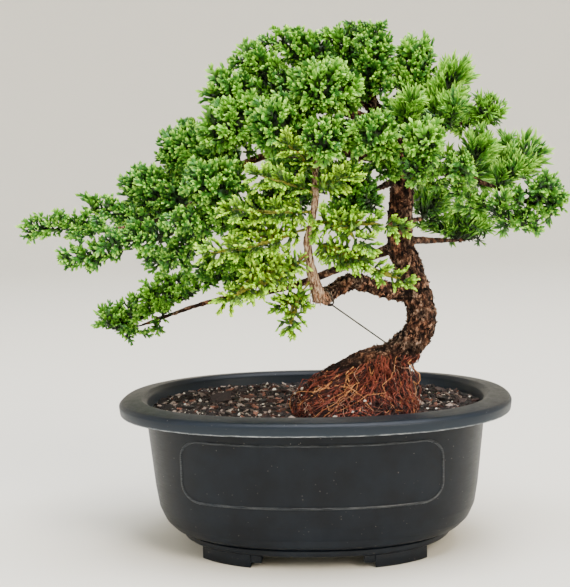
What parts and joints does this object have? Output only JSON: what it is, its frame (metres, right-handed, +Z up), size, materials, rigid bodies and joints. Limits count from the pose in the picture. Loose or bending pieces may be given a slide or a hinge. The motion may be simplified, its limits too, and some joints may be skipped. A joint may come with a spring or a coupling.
{
  "type": "procumbens nana juniper bonsai",
  "caption": "Juniper bonsai with an S-curved trunk, exposed root mound and spreading needle foliage, planted off-centre in an oval footed training pot.",
  "frame": {"origin": "middle of the footprint box, on the surface that the pot's feet stand on", "axes": "+X along the pot's length to the right as seen from the front, where the trunk stands; -Y towards the viewer; +Z up"},
  "size_m": [0.358, 0.21, 0.3446],
  "materials": {
    "pot_plastic": "charcoal moulded plastic, semi-matt, lightly dusty",
    "potting_mix": "damp bark chips and fines with white perlite grains",
    "bark": "rough flaking dark brown bark, red-brown fine roots",
    "guy_wire": "dull dark annealed wire",
    "needles": "waxy mid green needles with paler tips",
    "needles_fresh": "waxy yellow-green new needles"
  },
  "bodies": {
    "root": {"pot": "pot_plastic", "soil": "potting_mix", "tree_wood": "bark", "guy_wire": "guy_wire", "apex_back": "needles", "apex_front": "needles", "apex_front_low": "needles", "apex_left": "needles", "apex_right": "needles", "apex_top": "needles", "back_high": "needles", "back_left": "needles", "burst_inner": "needles", "burst_middle": "needles", "burst_outer": "needles", "centre_dark": "needles", "centre_left": "needles", "crest_back": "needles", "crest_inner": "needles", "crest_outer": "needles", "front_right_end": "needles", "front_right_inner": "needles", "front_right_outer": "needles", "left_back_lower": "needles", "left_back_upper": "needles", "left_finger": "needles", "left_front": "needles", "left_front_upper": "needles", "left_middle": "needles", "left_shoulder": "needles", "left_tip": "needles", "left_under_tip": "needles", "left_underside": "needles", "left_upper": "needles", "low_centre": "needles", "low_left_inner": "needles", "low_left_middle": "needles", "low_left_tip": "needles", "right_back_low": "needles", "right_back_mid": "needles", "right_back_rise": "needles", "right_middle": "needles", "right_outer_up": "needles", "right_tip": "needles", "right_under": "needles", "stem_down": "needles_fresh", "stem_left_high": "needles_fresh", "stem_left_long": "needles_fresh", "stem_left_low": "needles_fresh", "stem_left_middle": "needles_fresh", "stem_right_high": "needles_fresh", "stem_right_low": "needles_fresh", "stem_right_middle": "needles_fresh", "stem_top_left": "needles_fresh", "trunk_front": "needles", "upper_left_back": "needles", "upper_left_front": "needles", "upper_left_low": "needles", "upper_left_tip": "needles", "upper_left_top": "needles"}
  },
  "joints": []
}
